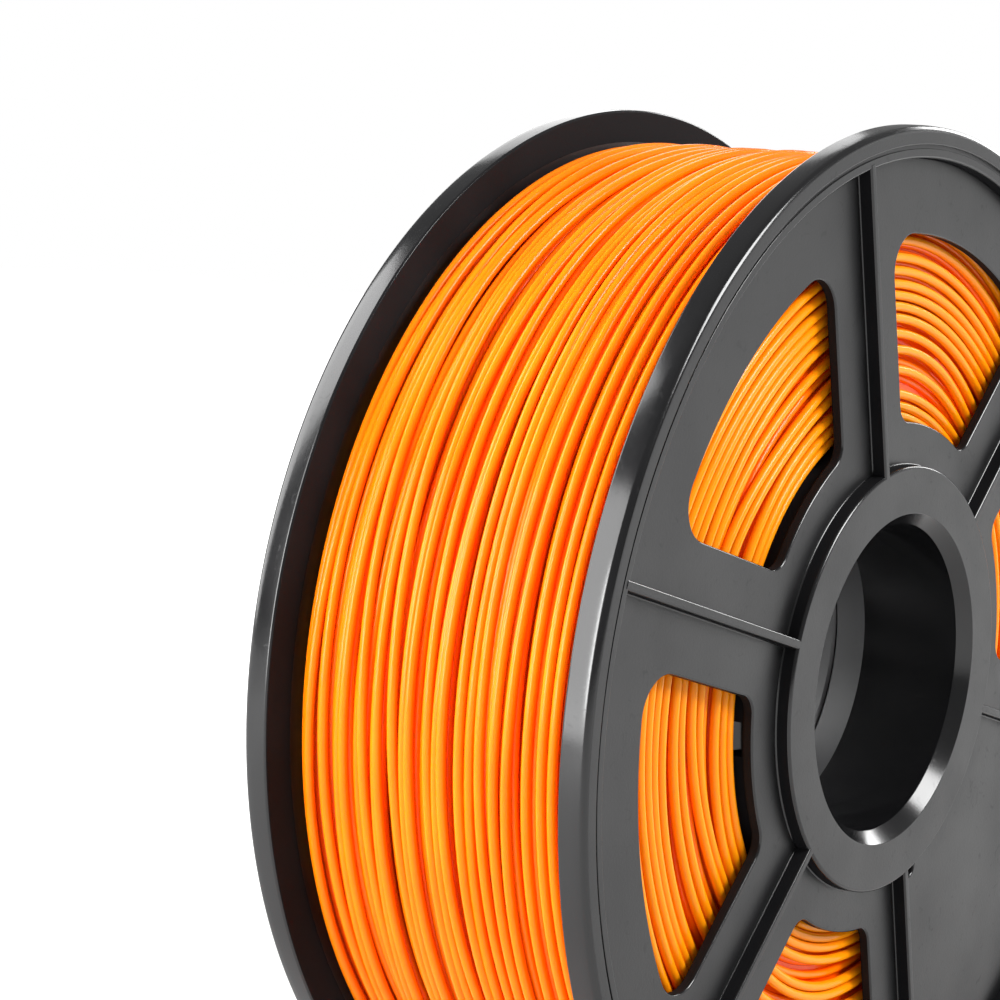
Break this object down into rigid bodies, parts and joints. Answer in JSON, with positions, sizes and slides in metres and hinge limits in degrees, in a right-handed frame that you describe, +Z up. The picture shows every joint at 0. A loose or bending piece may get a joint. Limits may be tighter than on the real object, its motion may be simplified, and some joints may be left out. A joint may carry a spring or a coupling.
{
  "type": "filament spool",
  "caption": "Spool of plastic filament for a 3D printer: a two-part moulded spool with windows in its flanges, wound nearly full.",
  "frame": {"origin": "middle of the bore, half way between the two flanges' outer faces", "axes": "+Y along the bore from the front face to the rear face, +Z up, with the spool standing on its two rims; -Y looks out of the front face"},
  "size_m": [0.2, 0.068, 0.2],
  "materials": {
    "spool_plastic": "black moulded polystyrene, satin faces and glossy rims",
    "filament_plastic": "orange extruded polymer, semi-gloss"
  },
  "bodies": {
    "root": {"front_spool_half": "spool_plastic", "rear_spool_half": "spool_plastic", "filament_inner_layers": "filament_plastic", "filament_outer_turns": "filament_plastic"}
  },
  "joints": []
}
